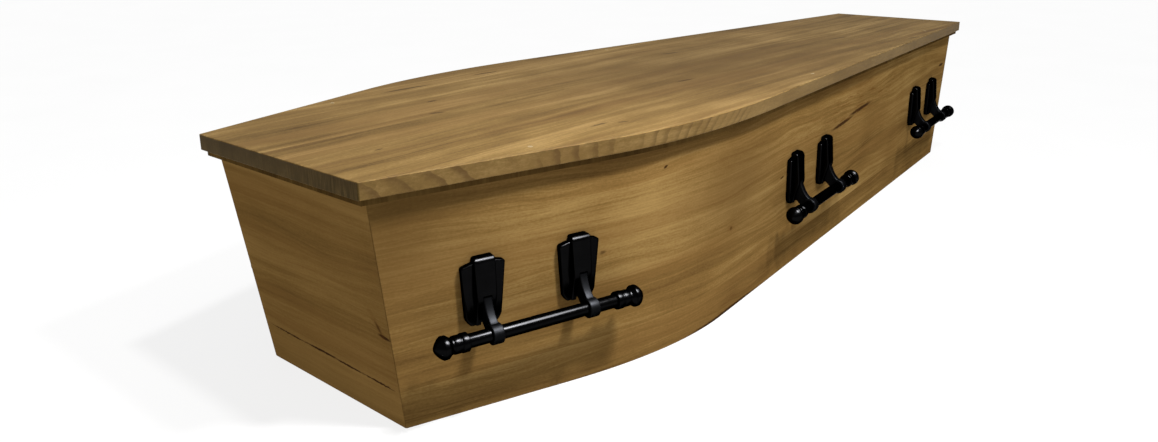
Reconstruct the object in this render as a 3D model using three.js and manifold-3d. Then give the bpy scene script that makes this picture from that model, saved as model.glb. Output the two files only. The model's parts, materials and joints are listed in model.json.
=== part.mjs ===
// Wooden coffin with bent shoulders, a screwed lid and six swing-bar handles.
// Millimetres, +Z up. The head is at -X, the foot at +X. Origin at the middle of the underside.
import * as THREE from 'three';
import { mergeVertices } from 'three/addons/utils/BufferGeometryUtils.js';
import Module from 'manifold-3d';

const wasm = await Module();
wasm.setup();

// Overall sizes
const LENGTH = 1980;
const HEIGHT = 359;
const LID_THICKNESS = 23;
const RIM_THICKNESS = 8.4;
const WALL_THICKNESS = 18;
const BASE_THICKNESS = 18;
const BASE_CLEARANCE = 1;
const GAP = 0.3;
const WELD_DISTANCE = 0.001;

// Lid outline: half widths, and the shoulder's place measured from the head end
const LID_HEAD_HALF = 184.3;
const LID_FOOT_HALF = 176.7;
const LID_SHOULDER_HALF = 321.5;
const LID_SHOULDER_FROM_HEAD = 515.2;
const LID_BEND_HEADWARD = 168.4;
const LID_BEND_FOOTWARD = 240;

// Box outline where the wall meets the lid, set in from the lid's edge
const WALL_SETBACK = 18.1;
const RIM_SETBACK = 6.5;
const BEND_STEPS = 9;
const HEAD_RUN_STEPS = 2;
const FOOT_RUN_STEPS = 5;

// Box outline at the underside
const BASE_HEAD_FROM_HEAD = 64.2;
const BASE_HEAD_HALF = 158.1;
const BASE_SHOULDER_FROM_HEAD = 478.1;
const BASE_SHOULDER_HALF = 301.6;
const BASE_FOOT_FROM_HEAD = 1918.6;
const BASE_FOOT_HALF = 156.3;
const BASE_BEND_HEADWARD = 193;
const BASE_BEND_FOOTWARD = 146.4;

// Lid screws
const SCREW_STATIONS = [244, 978, 1730];
const SCREW_SETBACK = 26;
const SCREW_HEAD_RADIUS = 3.6;
const SCREW_SHANK_RADIUS = 2;
const SCREW_HEAD_DEPTH = 2.4;
const SCREW_LENGTH = 52;
const SCREW_SIDES = 6;
const HOLE_BEYOND = 1;

// Handles: places along the length, measured from the head end
const HANDLE_STATIONS = { head: 238, middle: 972, foot: 1736 };
const PLATE_FOOT_HEIGHT = 130;
const PLATE_SPACING = 148;
const PLATE_CHAMFER = 1.6;
const PLATE_SUNK = 8;

// Wings of a plate: half widths, and heights above the plate's foot
const WING_DEPTH = 9;
const WING_FOOT_HALF = 20;
const WING_FOOT_HEIGHT = 1.5;
const WING_CORNER_HALF = 26;
const WING_CORNER_HEIGHT = 11;
const WING_TOP_HALF = 32.2;
const WING_OUTER_HEIGHT = 86.3;
const WING_INNER_HEIGHT = 90.5;

// Rib of a plate: half widths, and its depth at the foot, at the nose over the arm, and at the top
const RIB_HEIGHT = 97.8;
const RIB_TOP_HALF = 15.5;
const RIB_FOOT_HALF = 13.2;
const RIB_FOOT_HEIGHT = 2;
const RIB_FOOT_DEPTH = 10;
const NOSE_DEPTH = 19;
const NOSE_LOW = 41;
const NOSE_HIGH = 47;
const RIB_TOP_DEPTH = 14.2;
const RIB_BROW = 8.5;

// Swing arm, its pivot and its ring: distance out from the wall, and height above the plate's foot
const PIVOT_OUT = 10;
const PIVOT_UP = 36;
const PIN_RADIUS = 2.5;
const PIN_REACH = 4;
const PIN_SIDES = 8;
const SLOT_WEB = 2.5;
const SLOT_ROUND = 13.4;
const SLOT_STEPS = 6;
const SLOT_BEYOND = 5;
const ARM_WIDTH = 12.5;
const ARM_STEPS = 4;
const HUB_RADIUS = 7.2;
const HUB_START = Math.PI / 3;
const LEDGE = [19.4, 43.2];
const ARM_BACK = [[2.8, 27], [3.5, 14], [13, 5], [29, -7.5]];
const ARM_FRONT = [[41, 12.6], [33, 13.8], [23.5, 27], [19.6, 41.5]];
const RING_OUT = 38.6;
const RING_UP = 0;
const RING_RADIUS = 13.8;
const RING_WIDTH = 16;
const RING_SIDES = 12;

// Bar and turned tips; the places along a tip are measured from its inner end
const BAR_RADIUS = 9.6;
const BAR_SIDES = 10;
const TIP_START = 112;
const TIP_SOCKET = 8;
const TIP_SIDES = 10;
const COLLAR_RADIUS = 13;
const COLLAR_LENGTH = 10;
const NECK_RADIUS = 11.8;
const NECK_START = 11.5;
const NECK_END = 22.5;
const CAP_RADIUS = 15.7;
const CAP_START = 28;
const CAP_END = 34;
const POINT_RADIUS = 6;
const POINT_START = 46.5;
const TIP_LENGTH = 50;

const wood = new THREE.MeshStandardMaterial({ color: 0x7d5f30, roughness: 0.5, metalness: 0 });
const lidWood = new THREE.MeshStandardMaterial({ color: 0x907348, roughness: 0.4, metalness: 0 });
const glossBlack = new THREE.MeshStandardMaterial({ color: 0x0b0b0b, roughness: 0.25, metalness: 0.1 });
const mattBlack = new THREE.MeshStandardMaterial({ color: 0x17181a, roughness: 0.6, metalness: 0.1 });
const screwMetal = new THREE.MeshStandardMaterial({ color: 0xcfc8b4, roughness: 0.35, metalness: 0.9 });

const coffin = new THREE.Group();
const WALL_TOP = HEIGHT - LID_THICKNESS - RIM_THICKNESS - 2 * GAP;
const LID_UNDERSIDE = HEIGHT - LID_THICKNESS;

function addMesh(parent, name, geometry, material) {
  const mesh = new THREE.Mesh(geometry, material);
  mesh.name = name;
  parent.add(mesh);
  return mesh;
}

// A closed mesh with only positions left becomes a solid that can be joined and cut
function toSolid(geometry) {
  const bare = geometry.clone();
  bare.deleteAttribute('normal');
  bare.deleteAttribute('uv');
  const merged = mergeVertices(bare, WELD_DISTANCE);
  const vertProperties = new Float32Array(merged.attributes.position.array);
  const triVerts = new Uint32Array(merged.index.array);
  return new wasm.Manifold(new wasm.Mesh({ numProp: 3, vertProperties, triVerts }));
}

function toGeometry(solid) {
  const mesh = solid.getMesh();
  const geometry = new THREE.BufferGeometry();
  geometry.setAttribute('position', new THREE.BufferAttribute(new Float32Array(mesh.vertProperties), 3));
  geometry.setIndex(new THREE.BufferAttribute(new Uint32Array(mesh.triVerts), 1));
  geometry.computeVertexNormals();
  return geometry;
}

// Half outline from the head corner round the bent shoulder to the foot corner
function halfOutline(headX, headHalf, shoulderX, shoulderHalf, footX, footHalf, bendHead, bendFoot) {
  const head = new THREE.Vector2(headX, headHalf);
  const shoulder = new THREE.Vector2(shoulderX, shoulderHalf);
  const foot = new THREE.Vector2(footX, footHalf);
  const start = head.clone().sub(shoulder).setLength(bendHead).add(shoulder);
  const end = foot.clone().sub(shoulder).setLength(bendFoot).add(shoulder);
  const bend = new THREE.QuadraticBezierCurve(start, shoulder, end).getPoints(BEND_STEPS);
  const headRun = new THREE.LineCurve(head, start).getPoints(HEAD_RUN_STEPS).slice(0, -1);
  const footRun = new THREE.LineCurve(end, foot).getPoints(FOOT_RUN_STEPS).slice(1);
  return [...headRun, ...bend, ...footRun];
}

// The half outline moved inward by the same distance all along, its ends included
function insetOutline(points, distance) {
  const moved = [];
  for (let i = 0; i < points.length; i += 1) {
    const before = points[Math.max(i - 1, 0)];
    const here = points[i];
    const after = points[Math.min(i + 1, points.length - 1)];
    const incoming = here.clone().sub(before);
    const outgoing = after.clone().sub(here);
    const first = i === 0 ? outgoing : incoming;
    const second = i === points.length - 1 ? incoming : outgoing;
    const normalA = new THREE.Vector2(first.y, -first.x).normalize();
    const normalB = new THREE.Vector2(second.y, -second.x).normalize();
    const normal = normalA.add(normalB).normalize();
    const stretch = distance / normal.dot(new THREE.Vector2(second.y, -second.x).normalize());
    moved.push(here.clone().addScaledVector(normal, stretch));
  }
  const last = moved.length - 1;
  slideToX(moved, 0, 1, points[0].x + distance);
  slideToX(moved, last, last - 1, points[last].x - distance);
  return moved;
}

// Slides an end point along its straight run until it reaches a given x
function slideToX(points, end, neighbour, x) {
  const a = points[neighbour];
  const b = points[end];
  const share = (x - a.x) / (b.x - a.x);
  points[end] = new THREE.Vector2(x, a.y + (b.y - a.y) * share);
}

function blendOutline(lower, upper, share) {
  return lower.map((p, i) => p.clone().lerp(upper[i], share));
}

const middle = LENGTH / 2;
const lidHalf = halfOutline(-middle, LID_HEAD_HALF, LID_SHOULDER_FROM_HEAD - middle, LID_SHOULDER_HALF,
  middle, LID_FOOT_HALF, LID_BEND_HEADWARD, LID_BEND_FOOTWARD);
const wallTopHalf = insetOutline(lidHalf, WALL_SETBACK);
const wallFootHalf = halfOutline(BASE_HEAD_FROM_HEAD - middle, BASE_HEAD_HALF,
  BASE_SHOULDER_FROM_HEAD - middle, BASE_SHOULDER_HALF, BASE_FOOT_FROM_HEAD - middle, BASE_FOOT_HALF,
  BASE_BEND_HEADWARD, BASE_BEND_FOOTWARD);

// Outer and inner faces of the walls at a height; inset moves both faces the same way
function outerHalf(z, inset = 0) {
  const outline = blendOutline(wallFootHalf, wallTopHalf, z / LID_UNDERSIDE);
  return inset === 0 ? outline : insetOutline(outline, inset);
}

function innerHalf(z, inset = 0) {
  return outerHalf(z, WALL_THICKNESS + inset);
}

// Closed prism between two loops of the same number of points, one above the other
function prismBetween(lowLoop, lowZ, highLoop, highZ) {
  const area = THREE.ShapeUtils.area(lowLoop);
  const low = area > 0 ? lowLoop : lowLoop.slice().reverse();
  const high = area > 0 ? highLoop : highLoop.slice().reverse();
  const count = low.length;
  const positions = [];
  low.forEach((p) => positions.push(p.x, p.y, lowZ));
  high.forEach((p) => positions.push(p.x, p.y, highZ));
  const index = [];
  for (let i = 0; i < count; i += 1) {
    const j = (i + 1) % count;
    index.push(i, j, count + j);
    index.push(i, count + j, count + i);
  }
  for (const [a, b, c] of THREE.ShapeUtils.triangulateShape(low, [])) {
    index.push(c, b, a);
    index.push(count + a, count + b, count + c);
  }
  const geometry = new THREE.BufferGeometry();
  geometry.setAttribute('position', new THREE.Float32BufferAttribute(positions, 3));
  geometry.setIndex(index);
  geometry.computeVertexNormals();
  return geometry;
}

function mirrored(points) {
  return points.map((p) => new THREE.Vector2(p.x, -p.y));
}

function fullLoop(half) {
  return [...mirrored(half), ...half.slice().reverse()];
}

// Loop of one side board at a height, mitred at both ends and kept a hair clear of the end boards
function sideLoop(z, sign) {
  const outer = outerHalf(z);
  const inner = innerHalf(z);
  const last = outer.length - 1;
  for (const line of [outer, inner]) {
    slideToX(line, 0, 1, line[0].x + GAP);
    slideToX(line, last, last - 1, line[last].x - GAP);
  }
  const loop = [...outer, ...inner.slice().reverse()];
  return loop.map((p) => new THREE.Vector2(p.x, p.y * sign));
}

// Loop of one end board at a height, mitred into the sides
function endLoop(z, atFoot) {
  const outer = outerHalf(z);
  const inner = innerHalf(z);
  const pick = atFoot ? outer.length - 1 : 0;
  const a = outer[pick];
  const b = inner[pick];
  return [
    new THREE.Vector2(a.x, a.y - GAP),
    new THREE.Vector2(b.x, b.y - GAP),
    new THREE.Vector2(b.x, -b.y + GAP),
    new THREE.Vector2(a.x, -a.y + GAP),
  ];
}

// Lathe profile given as [radius, along] pairs, turned about the Y axis
function lathe(pairs, sides) {
  return new THREE.LatheGeometry(pairs.map(([r, y]) => new THREE.Vector2(r, y)), sides);
}

// Screw profile; with extra room round it, it is the screw's hole
function screwProfile(extra) {
  const tip = HEIGHT - SCREW_LENGTH - extra;
  const shank = SCREW_SHANK_RADIUS + extra;
  const head = SCREW_HEAD_RADIUS + extra;
  const pairs = [[0, tip], [shank, tip], [shank, HEIGHT - SCREW_HEAD_DEPTH], [head, HEIGHT]];
  if (extra > 0) {
    pairs.push([head, HEIGHT + HOLE_BEYOND], [0, HEIGHT + HOLE_BEYOND]);
  } else {
    pairs.push([0, HEIGHT]);
  }
  return pairs;
}

// Screw places: set in from the lid's edge along the edge's normal
function screwPlace(fromHead, sign) {
  const line = insetOutline(lidHalf, SCREW_SETBACK);
  const x = fromHead - middle;
  const i = line.findIndex((p) => p.x > x);
  const share = (x - line[i - 1].x) / (line[i].x - line[i - 1].x);
  return new THREE.Vector2(x, sign * (line[i - 1].y + (line[i].y - line[i - 1].y) * share));
}

const screwPlaces = [];
for (const [sideName, sign] of [['right', -1], ['left', 1]]) {
  SCREW_STATIONS.forEach((station, i) => {
    screwPlaces.push({ name: `lid_screw_${sideName}_${i + 1}`, sign, at: screwPlace(station, sign) });
  });
}

function screwAt(place, extra) {
  const geometry = lathe(screwProfile(extra), SCREW_SIDES);
  geometry.rotateX(Math.PI / 2);
  geometry.translate(place.at.x, place.at.y, 0);
  return geometry;
}

function withScrewHoles(geometry, places) {
  let solid = toSolid(geometry);
  for (const place of places) {
    solid = solid.subtract(toSolid(screwAt(place, GAP)));
  }
  return toGeometry(solid);
}

// Box, lid and screws
const lidLoop = fullLoop(lidHalf);
addMesh(coffin, 'lid', withScrewHoles(prismBetween(lidLoop, LID_UNDERSIDE, lidLoop, HEIGHT), screwPlaces),
  lidWood);

const rimShape = new THREE.Shape(fullLoop(insetOutline(lidHalf, RIM_SETBACK)));
rimShape.holes.push(new THREE.Path(fullLoop(innerHalf(WALL_TOP))));
const rim = new THREE.ExtrudeGeometry(rimShape, { depth: RIM_THICKNESS, bevelEnabled: false });
rim.translate(0, 0, WALL_TOP + GAP);
addMesh(coffin, 'lid_rim', withScrewHoles(rim, screwPlaces), wood);

for (const [sideName, sign] of [['right', -1], ['left', 1]]) {
  const board = prismBetween(sideLoop(0, sign), 0, sideLoop(WALL_TOP, sign), WALL_TOP);
  const places = screwPlaces.filter((place) => place.sign === sign);
  addMesh(coffin, `side_${sideName}`, withScrewHoles(board, places), wood);
}
addMesh(coffin, 'head_end', prismBetween(endLoop(0, false), 0, endLoop(WALL_TOP, false), WALL_TOP), wood);
addMesh(coffin, 'foot_end', prismBetween(endLoop(0, true), 0, endLoop(WALL_TOP, true), WALL_TOP), wood);
const baseLow = fullLoop(innerHalf(0, BASE_CLEARANCE));
const baseHigh = fullLoop(innerHalf(BASE_THICKNESS, BASE_CLEARANCE));
addMesh(coffin, 'base', prismBetween(baseLow, 0, baseHigh, BASE_THICKNESS), wood);
for (const place of screwPlaces) {
  addMesh(coffin, place.name, screwAt(place, 0), screwMetal);
}

// Handle parts. Their own frame has x along the wall, -y out of the wall and z up the wall.

// Front outline given as [along, up] pairs, extruded out of the wall with a chamfered front edge
function extrudeOut(points, depth, chamfer) {
  const shape = new THREE.Shape(points.map(([x, z]) => new THREE.Vector2(x, z)));
  const options = { depth: depth - chamfer, bevelEnabled: chamfer > 0, bevelSegments: 1,
    bevelThickness: chamfer, bevelSize: chamfer, bevelOffset: -chamfer };
  const geometry = new THREE.ExtrudeGeometry(shape, options);
  geometry.rotateX(Math.PI / 2);
  return geometry;
}

// Side profile given as [out, up] pairs, extruded along the wall and centred
function extrudeAlong(points, width) {
  const shape = new THREE.Shape(points.map(([out, up]) => new THREE.Vector2(out, up)));
  const geometry = new THREE.ExtrudeGeometry(shape, { depth: width, bevelEnabled: false });
  geometry.translate(0, 0, -width / 2);
  const toHandle = new THREE.Matrix4().set(0, 0, -1, 0, -1, 0, 0, 0, 0, 1, 0, 0, 0, 0, 0, 1);
  geometry.applyMatrix4(toHandle);
  return geometry;
}

function cylinderAlong(radius, width, out, up, sides) {
  const geometry = new THREE.CylinderGeometry(radius, radius, width, sides);
  geometry.rotateZ(Math.PI / 2);
  geometry.translate(0, -out, up);
  return geometry;
}

// Opening in the rib for the arm: straight below the pivot and round above it
function slotSolid() {
  const width = ARM_WIDTH + 2 * GAP;
  const beyond = NOSE_DEPTH + SLOT_BEYOND;
  const profile = [[SLOT_WEB, -SLOT_BEYOND], [beyond, -SLOT_BEYOND], [beyond, PIVOT_UP]];
  for (let i = 0; i <= SLOT_STEPS; i += 1) {
    const angle = (Math.PI * i) / SLOT_STEPS;
    const out = Math.max(PIVOT_OUT + SLOT_ROUND * Math.cos(angle), SLOT_WEB);
    profile.push([out, PIVOT_UP + SLOT_ROUND * Math.sin(angle)]);
  }
  return toSolid(extrudeAlong(profile, width));
}

// Side profile of the rib: deepest at the nose, with a rounded brow at the top
function ribProfile() {
  const behind = -PLATE_SUNK;
  const brow = RIB_BROW * (1 - Math.SQRT1_2);
  return [[behind, RIB_FOOT_HEIGHT], [RIB_FOOT_DEPTH, RIB_FOOT_HEIGHT], [NOSE_DEPTH, NOSE_LOW],
    [NOSE_DEPTH, NOSE_HIGH], [RIB_TOP_DEPTH, RIB_HEIGHT - RIB_BROW],
    [RIB_TOP_DEPTH - brow, RIB_HEIGHT - brow], [RIB_TOP_DEPTH - RIB_BROW, RIB_HEIGHT],
    [behind, RIB_HEIGHT]];
}

function plateSolid() {
  const half = [[WING_FOOT_HALF, WING_FOOT_HEIGHT], [WING_CORNER_HALF, WING_CORNER_HEIGHT],
    [WING_TOP_HALF, WING_OUTER_HEIGHT], [RIB_TOP_HALF, WING_INNER_HEIGHT]];
  const otherHalf = half.map(([x, z]) => [-x, z]).reverse();
  const wings = extrudeOut([...half, ...otherHalf], WING_DEPTH + PLATE_SUNK, PLATE_CHAMFER);
  wings.translate(0, PLATE_SUNK, 0);
  const ribFront = extrudeOut([[-RIB_FOOT_HALF, 0], [RIB_FOOT_HALF, 0], [RIB_TOP_HALF, RIB_HEIGHT],
    [-RIB_TOP_HALF, RIB_HEIGHT]], NOSE_DEPTH + 2 * PLATE_SUNK, 0);
  ribFront.translate(0, PLATE_SUNK, 0);
  const ribSide = extrudeAlong(ribProfile(), 2 * RIB_TOP_HALF);
  const holeLength = ARM_WIDTH + 2 * (PIN_REACH + 2 * GAP);
  const pinHole = cylinderAlong(PIN_RADIUS + GAP, holeLength, PIVOT_OUT, PIVOT_UP, PIN_SIDES);
  return toSolid(ribSide).intersect(toSolid(ribFront)).add(toSolid(wings))
    .subtract(slotSolid()).subtract(toSolid(pinHole));
}

function curvePoints(controls) {
  const [a, b, c, d] = controls.map(([out, up]) => new THREE.Vector2(out, up));
  return new THREE.CubicBezierCurve(a, b, c, d).getPoints(ARM_STEPS).map((p) => [p.x, p.y]);
}

// Swing arm: ledge, hub round the pivot, back, ring for the bar and swept front
function armSolid() {
  const profile = [LEDGE];
  for (let i = 0; i <= ARM_STEPS; i += 1) {
    const angle = HUB_START + ((Math.PI - HUB_START) * i) / ARM_STEPS;
    profile.push([PIVOT_OUT + HUB_RADIUS * Math.cos(angle), PIVOT_UP + HUB_RADIUS * Math.sin(angle)]);
  }
  profile.push(...curvePoints(ARM_BACK), [RING_OUT, RING_UP], ...curvePoints(ARM_FRONT));
  const body = toSolid(extrudeAlong(profile, ARM_WIDTH));
  const ring = toSolid(cylinderAlong(RING_RADIUS, RING_WIDTH, RING_OUT, RING_UP, RING_SIDES));
  const boreRadius = (BAR_RADIUS + GAP) / Math.cos(Math.PI / RING_SIDES);
  const bore = toSolid(cylinderAlong(boreRadius, 2 * RING_WIDTH, RING_OUT, RING_UP, RING_SIDES));
  const pin = toSolid(cylinderAlong(PIN_RADIUS, ARM_WIDTH + 2 * PIN_REACH, PIVOT_OUT, PIVOT_UP, PIN_SIDES));
  return body.add(ring).subtract(bore).add(pin);
}

// Turned tip: a socket for the bar, a collar, a neck and a flared cap with a pointed end
function tipGeometry() {
  const bore = BAR_RADIUS + GAP;
  const pairs = [[0, TIP_SOCKET], [bore, TIP_SOCKET], [bore, 0], [COLLAR_RADIUS, 0],
    [COLLAR_RADIUS, COLLAR_LENGTH], [NECK_RADIUS, NECK_START], [NECK_RADIUS, NECK_END],
    [CAP_RADIUS, CAP_START], [CAP_RADIUS, CAP_END], [POINT_RADIUS, POINT_START], [0, TIP_LENGTH]];
  return lathe(pairs, TIP_SIDES);
}

// Place on the wall's outer face at a station and height
function wallPoint(x, z, sign) {
  const line = outerHalf(z);
  const i = line.findIndex((p) => p.x > x);
  const share = (x - line[i - 1].x) / (line[i].x - line[i - 1].x);
  return new THREE.Vector3(x, sign * (line[i - 1].y + (line[i].y - line[i - 1].y) * share), z);
}

// Wall face moved out by a hair, thick enough to trim the backs of the plates
function wallTrim(sign) {
  const loopAt = (z) => {
    const outer = outerHalf(z, -GAP);
    const inner = outerHalf(z, WALL_THICKNESS);
    return [...outer, ...inner.slice().reverse()].map((p) => new THREE.Vector2(p.x, p.y * sign));
  };
  return toSolid(prismBetween(loopAt(0), 0, loopAt(WALL_TOP), WALL_TOP));
}

function geometryFrom(solid, matrix) {
  const geometry = toGeometry(solid);
  geometry.applyMatrix4(matrix);
  return geometry;
}

const plate = plateSolid();
const arm = armSolid();

for (const [sideName, sign] of [['right', -1], ['left', 1]]) {
  const trim = wallTrim(sign);
  for (const [place, station] of Object.entries(HANDLE_STATIONS)) {
    const x = station - middle;
    const low = wallPoint(x, PLATE_FOOT_HEIGHT, sign);
    const high = wallPoint(x, PLATE_FOOT_HEIGHT + RIB_HEIGHT, sign);
    const plateMiddle = PLATE_FOOT_HEIGHT + RIB_HEIGHT / 2;
    const ahead = wallPoint(x + PLATE_SPACING / 2, plateMiddle, sign);
    const behind = wallPoint(x - PLATE_SPACING / 2, plateMiddle, sign);
    const along = ahead.sub(behind).setZ(0).normalize().multiplyScalar(-sign);
    const up = high.sub(low);
    up.addScaledVector(along, -up.dot(along)).normalize();
    const inward = up.clone().cross(along);
    const handle = new THREE.Group();
    handle.position.copy(low);
    handle.quaternion.setFromRotationMatrix(new THREE.Matrix4().makeBasis(along, inward, up));
    handle.updateMatrix();
    coffin.add(handle);
    const label = `handle_${place}_${sideName}`;
    const inverse = handle.matrix.clone().invert();
    for (const [end, direction] of [['head', -1], ['foot', 1]]) {
      const offset = direction * -sign * (PLATE_SPACING / 2);
      const moved = plate.translate([offset, 0, 0]);
      const placed = toSolid(geometryFrom(moved, handle.matrix)).subtract(trim);
      addMesh(handle, `${label}_plate_${end}`, geometryFrom(placed, inverse), glossBlack);
      const armMesh = addMesh(handle, `${label}_arm_${end}`, toGeometry(arm), mattBlack);
      armMesh.position.set(offset, 0, 0);
      const tip = addMesh(handle, `${label}_tip_${end}`, tipGeometry(), glossBlack);
      tip.rotation.z = offset > 0 ? -Math.PI / 2 : Math.PI / 2;
      tip.position.set(Math.sign(offset) * TIP_START, -RING_OUT, RING_UP);
    }
    const barLength = 2 * (TIP_START + TIP_SOCKET - GAP);
    const bar = cylinderAlong(BAR_RADIUS, barLength, RING_OUT, RING_UP, BAR_SIDES);
    addMesh(handle, `${label}_bar`, bar, glossBlack);
  }
}

export default coffin;
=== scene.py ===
import json
import math

import bmesh
import bpy
from mathutils import Matrix, Vector


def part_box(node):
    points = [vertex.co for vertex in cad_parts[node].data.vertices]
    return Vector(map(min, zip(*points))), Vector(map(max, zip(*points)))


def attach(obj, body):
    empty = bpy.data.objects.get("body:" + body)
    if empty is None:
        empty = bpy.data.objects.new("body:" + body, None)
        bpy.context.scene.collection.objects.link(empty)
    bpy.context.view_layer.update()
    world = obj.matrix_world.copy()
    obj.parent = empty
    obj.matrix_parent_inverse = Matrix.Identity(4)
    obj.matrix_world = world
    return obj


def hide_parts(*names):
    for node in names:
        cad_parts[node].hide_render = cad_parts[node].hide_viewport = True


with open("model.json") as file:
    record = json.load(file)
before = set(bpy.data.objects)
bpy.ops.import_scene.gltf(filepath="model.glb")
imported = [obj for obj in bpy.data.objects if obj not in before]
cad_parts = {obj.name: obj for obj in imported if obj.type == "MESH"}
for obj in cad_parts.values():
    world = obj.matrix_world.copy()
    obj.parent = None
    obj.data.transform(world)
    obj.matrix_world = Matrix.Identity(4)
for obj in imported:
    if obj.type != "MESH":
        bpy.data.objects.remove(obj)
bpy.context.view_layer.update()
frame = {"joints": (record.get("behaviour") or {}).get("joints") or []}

# Wooden coffin with bent shoulders, a screwed lid and six swing-bar handles. Sizes are in metres.
MM = 0.001

# Box and lid, as in the solids, and the rounding of their edges
LENGTH = 1.98
HEIGHT = 0.359
LID_THICKNESS = 0.023
RIM_THICKNESS = 0.0084
WALL_THICKNESS = 0.018
BASE_THICKNESS = 0.018
BASE_CLEARANCE = 0.001
GAP = 0.3 * MM
JOINT_GAP = 0.12 * MM
LID_HEAD_HALF = 0.1843
LID_FOOT_HALF = 0.1767
LID_SHOULDER_HALF = 0.3215
LID_SHOULDER_FROM_HEAD = 0.5152
LID_BENDS = (0.1684, 0.24)
WALL_SETBACK = 0.0181
RIM_SETBACK = 0.0065
BASE_HEAD = (0.0642, 0.1581)
BASE_SHOULDER = (0.4781, 0.3016)
BASE_FOOT = (1.9186, 0.1563)
BASE_BENDS = (0.193, 0.1464)
EDGE_ROUNDING = 1.1 * MM
RIM_ROUNDING = 0.6 * MM
LID_UNDERSIDE = HEIGHT - LID_THICKNESS
WALL_TOP = LID_UNDERSIDE - RIM_THICKNESS - 2 * GAP
MIDDLE = LENGTH / 2

# Screw heads, the dome as shares of the radius and of the rise
SCREW_HEAD_RADIUS = 3.6 * MM
SCREW_RISE = 0.5 * MM
SCREW_SUNK = 1.5 * MM
SCREW_LIP = 0.1 * MM
SCREW_DOME = ((0.85, 0.75), (0.4, 1.0), (0.0, 1.0))

# Handles, as in the solids but for roundings and the tips' finer profile; the arm's curves are in millimetres
PLATE_SPACING = 0.148
PLATE_BACK = 0.2 * MM
PLATE_CLEARANCE = 0.1 * MM
WING_DEPTH = 9 * MM
WING_FOOT_HALF = 20 * MM
WING_FOOT_HEIGHT = 1.5 * MM
WING_CORNER_HALF = 26 * MM
WING_CORNER_HEIGHT = 11 * MM
WING_TOP_HALF = 32.2 * MM
WING_OUTER_HEIGHT = 86.3 * MM
WING_INNER_HEIGHT = 90.5 * MM
WING_CORNER_CUT = 3.4 * MM
WING_ROUNDING = 2.6 * MM
RIB_HEIGHT = 97.8 * MM
RIB_TOP_HALF = 15.5 * MM
RIB_FOOT_HALF = 13.2 * MM
RIB_FOOT_HEIGHT = 2 * MM
RIB_FOOT_DEPTH = 10 * MM
NOSE_DEPTH = 19 * MM
NOSE_LOW = 41 * MM
NOSE_HIGH = 47 * MM
RIB_TOP_DEPTH = 14.2 * MM
RIB_BROW = 8.5 * MM
RIB_ROUNDING = 2.2 * MM
RIB_CORNER = 4 * MM
PIVOT_OUT = 10 * MM
PIVOT_UP = 36 * MM
PIN_RADIUS = 2.5 * MM
PIN_REACH = 4 * MM
SLOT_WEB = 2.5 * MM
SLOT_ROUND = 13.4 * MM
SLOT_BEYOND = 5 * MM
ARM_WIDTH = 12.5 * MM
ARM_ROUNDING = 1.8 * MM
LEDGE = (19.4 * MM, 43.2 * MM)
HUB_RADIUS = 7.2 * MM
HUB_START = math.pi / 3
ARM_BACK = ((2.8, 27), (3.5, 14), (13, 5), (29, -7.5))
ARM_FRONT = ((41, 12.6), (33, 13.8), (23.5, 27), (19.6, 41.5))
RING_OUT = 38.6 * MM
RING_UP = 0.0
RING_RADIUS = 13.8 * MM
RING_WIDTH = 16 * MM
RING_ROUNDING = 1.6 * MM
BORE_FIT = 0.1 * MM
BORE_ROUNDING = 1 * MM
BAR_RADIUS = 9.6 * MM
BAR_ROUNDING = 0.6 * MM
TIP_START = 0.114
TIP_SOCKET = 8 * MM
TIP_FIT = 0.15 * MM
COLLAR_RADIUS = 13 * MM
COLLAR_END = 10 * MM
COLLAR_ROUNDING = 1.4 * MM
GROOVE_RADIUS = 11.3 * MM
GROOVE_SLOPE = 0.4 * MM
BARREL_RADIUS = 12.2 * MM
BARREL_START = 11.5 * MM
BARREL_END = 21 * MM
FLARE_START = 23.2 * MM
FLARE_END = 28.8 * MM
FLARE_RADIUS = 15 * MM
FLARE_POWER = 1.5
CAP_RADIUS = 15.7 * MM
CAP_START = 29.3 * MM
CAP_END = 35.9 * MM
BAND_ROUNDING = 0.8 * MM
DOME_POWER = 0.6
TIP_LENGTH = 47.3 * MM

# Fineness of the meshes
BEND_STEPS = 36
HEAD_RUN_STEPS = 4
FOOT_RUN_STEPS = 10
WALL_ROWS = 8
END_COLUMNS = 8
ROUND_SIDES = 48
RIM_STEPS = 4
PLATE_RIM_STEPS = 5
RIB_RUN_STEPS = 8
SLOT_STEPS = 16
HUB_STEPS = 8
ARM_BACK_STEPS = 14
ARM_FRONT_STEPS = 18
BAND_STEPS = 3
FLARE_STEPS = 4
DOME_STEPS = 9
BEVEL_SEGMENTS = 3
BEVEL_ANGLE = math.radians(40)
SHARP_ANGLE = math.radians(35)
TIP_SHARP_ANGLE = math.radians(30)
LEAST_MITRE = 0.5

# Camera, as the photograph was taken
IMAGE_WIDTH = 1158
IMAGE_HEIGHT = 442
CAMERA_PLACE = Vector((-1.5619, -1.0175, 0.6512))
CAMERA_HEADING = math.radians(41.2947)
CAMERA_DIP = math.radians(16.2335)
CAMERA_ROLL = math.radians(0.426)
CAMERA_FOCAL_PIXELS = 899.32
CAMERA_AXIS_PIXEL = (575.59, 175.03)
SENSOR_WIDTH = 36

# Light: a sun and a lamp, both high on the near side, a second lamp for highlights alone, and an even glow
KEY_TOWARDS = Vector((0.159, -0.457, 0.875))
KEY_STRENGTH = 1.7
KEY_SPREAD = math.radians(5)
LAMP_PLACE = Vector((-0.528, -0.935, 1.424))
LAMP_TARGET = Vector((-0.75, -0.25, 0.13))
LAMP_SIZE = 0.16
LAMP_POWER = 25
SHEEN_PLACE = Vector((-0.38, -0.95, 1.4))
SHEEN_SIZE = 0.8
SHEEN_POWER = 180
WHITE = (1.0, 1.0, 1.0, 1.0)
WORLD_STRENGTH = 0.36

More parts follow.
